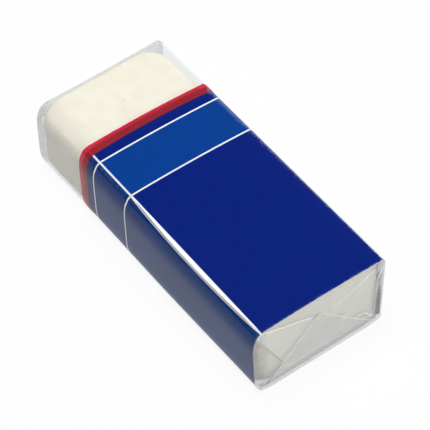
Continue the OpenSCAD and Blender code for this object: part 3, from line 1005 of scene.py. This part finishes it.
def painted_gleam_on_crease(tree, x, y, z):
    """A lens-shaped mask of painted highlight along the crease at -Y, with a thin white line below it:
    straight towards the top and bowed towards the side.
    """
    across = calc(tree, "SUBTRACT", y, corner_y * MM)
    over = product(tree, calc(tree, "ADD", across, calc(tree, "SUBTRACT", z, corner_z * MM)), math.sqrt(0.5))
    along = wire(tree, "MapRange", {
        "Value": x, "From Min": GLEAM_X[0] * MM, "From Max": GLEAM_X[1] * MM}).outputs[0]
    swell = product(tree, along, calc(tree, "SUBTRACT", 1.0, along), 4.0)
    width = product(tree, swell, GLEAM_W * MM)
    below = calc(tree, "SUBTRACT", GLEAM_TOP * MM, over)
    lens = fade_mm(tree, calc(tree, "SUBTRACT", width, below), -GLEAM_SOFT, GLEAM_SOFT)
    lens = product(tree, lens, fade_mm(tree, below, -GLEAM_SOFT, GLEAM_SOFT))
    second = strip(tree, calc(tree, "SUBTRACT", below, width), SECOND_AWAY, SECOND_W, SECOND_SOFT)
    either = calc(tree, "MAXIMUM", lens, product(tree, second, SECOND_SHARE))
    return product(tree, either, fade(tree, swell, 0.02, 0.2))


print("gleam from x", GLEAM_X[0], "to", GLEAM_X[1], "mm")

# %% Film material: painted shade, painted light and the ledge
# The tucked side: how dark its painted shade is, and between which places along the mouth that fades in.
TUCK_PAINTED_SHADE, TUCK_FADE = 0.2, (3.4, 0.4)
# The painted shade in the gap beside the rubber: how dark, its two sides along the mouth, and its top and
# foot in z.
GAP_PAINTED_SHADE, GAP_SIDES, GAP_TOP, GAP_FOOT = 0.5, ((21.3, 21.7), (22.6, 22.3)), (10, 3), (1.2, 1.8)
# The milky ledge, and the painted light that brightens the lower part of the mouth above it: how white,
# their height over the card's bottom, and how soft.
LEDGE_MILK, LEDGE_H, LEDGE_SOFT = 0.88, 0.75, 0.08
LOWER_PAINTED_LIGHT, LOWER_LIGHT_H, LOWER_LIGHT_SOFT = 0.34, 3.0, 1.5


def up_to(tree, z, height, soft):
    """A mask of what lies below a height over the card's bottom."""
    return fade_mm(tree, z, CARD_BOTTOM + height + soft, CARD_BOTTOM + height - soft)


wrap, tree, output = new_material("clear_film")
x, y, z, place = place_of(tree)
layers = wire(tree, "Attribute", attribute_name="haze").outputs["Fac"]
mouth = wire(tree, "Attribute", attribute_name="mouth").outputs["Fac"]

# Painted shade: on the dark folds, over the tucked side and in the gap beside the rubber, only on the mouth.
tuck_fade = fade_mm(tree, y, *(crease_y(along) for along in TUCK_FADE))
tuck = product(tree, inside(tree, y, z, TUCK), tuck_fade, TUCK_PAINTED_SHADE)
gap_sides = [fade_mm(tree, y, crease_y(outer), crease_y(inner)) for outer, inner in GAP_SIDES]
gap_shade = product(tree, *gap_sides, GAP_PAINTED_SHADE, fade_mm(tree, z, *GAP_TOP), fade_mm(tree, z, *GAP_FOOT))
painted_shade = calc(tree, "MAXIMUM", marks(tree, place, PAINTED_SHADOW_FOLDS), calc(tree, "MAXIMUM", tuck, gap_shade))
painted_shade = product(tree, mouth, painted_shade)

ledge = product(tree, up_to(tree, z, LEDGE_H, LEDGE_SOFT), LEDGE_MILK)
# Painted light: the lower part of the mouth is lifted towards white where the rubber's end lies in shade.
lower = product(tree, up_to(tree, z, LOWER_LIGHT_H, LOWER_LIGHT_SOFT), LOWER_PAINTED_LIGHT)
light = calc(tree, "MAXIMUM", marks(tree, place, FOLD_WHITENING_AND_HIGHLIGHTS), calc(tree, "MAXIMUM", ledge, lower))
bright = calc(tree, "MAXIMUM", product(tree, mouth, light), painted_gleam_on_crease(tree, x, y, z))
haze_and_painted_light_share = calc(tree, "MAXIMUM", layers, calc(tree, "MAXIMUM", bright, painted_shade))
print("film masks:", len(tree.nodes), "nodes")

# %% Film material: colours and shaders
# The white is for thick milky film and also for the painted highlights, gleam and light; the dark brown is
# the colour of the painted shade.
GREY_MILK, WHITE_MILK_AND_HIGHLIGHT, PAINTED_SHADE_COLOUR = rgb(0.74, 0.75, 0.75), rgb(0.97, 0.98, 0.99), rgb(0.36, 0.31, 0.28)
TINT, MOUTH_TINT = rgb(0.965, 0.972, 0.975), rgb(0.955, 0.972, 0.990)
MIRROR_SHARE = 0.55

whiteness = calc(tree, "MAXIMUM", fade(tree, layers, 0.55, 0.75), fade(tree, bright, 0.0, 0.3))
milk_with_painted_light_and_shade = blend_colours(tree, whiteness, GREY_MILK, WHITE_MILK_AND_HIGHLIGHT)
milk_with_painted_light_and_shade = blend_colours(tree, fade(tree, painted_shade, 0.0, 0.3), milk_with_painted_light_and_shade, PAINTED_SHADE_COLOUR)
grain = use_group(tree, grain_group, {"Place": place, "Scale": 1400.0})
bump = wire(tree, "Bump", {"Height": grain["Cloud"], "Distance": 0.04 * MM, "Strength": 0.35})
outside = calc(tree, "SUBTRACT", 1.0, wire(tree, "NewGeometry").outputs["Backfacing"])
fresnel = wire(tree, "Fresnel", {"IOR": 1.5, "Normal": bump.outputs[0]}).outputs[0]
clear = wire(tree, "BsdfTransparent", {"Color": blend_colours(tree, mouth, TINT, MOUTH_TINT)})
mirror = wire(tree, "BsdfPrincipled", {
    "Base Color": rgb(0.95, 0.97, 1.0), "Metallic": 1.0, "Roughness": 0.09, "Normal": bump.outputs[0]})
shine = wire(tree, "MixShader", {
    0: product(tree, fresnel, MIRROR_SHARE, outside), 1: clear.outputs[0], 2: mirror.outputs[0]})
milky_with_painted_light_and_shade = wire(tree, "BsdfPrincipled", {"Base Color": milk_with_painted_light_and_shade, "Roughness": 0.35, "Normal": bump.outputs[0]})
both = wire(tree, "MixShader", {0: haze_and_painted_light_share, 1: shine.outputs[0], 2: milky_with_painted_light_and_shade.outputs[0]})
tree.links.new(both.outputs[0], output.inputs["Surface"])
film.data.materials.append(wrap)
print("film:", len(tree.nodes), "nodes")

# %% [markdown]
# ## Hand over to the frame
# Each piece rides on the part's one rigid body and stands for the CAD solid that it replaces.

# %% Bodies and replaced nodes
for piece, node, slot in (
        (rubber, "eraser_block", "rubber"),
        (card, "card_sleeve", "printed_card"),
        (tape, "tear_tape", "red_tape"),
        (film, "film_wrap", "clear_film")):
    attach(piece, "root")
    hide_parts(node)
    print(piece.name, "replaces", node)
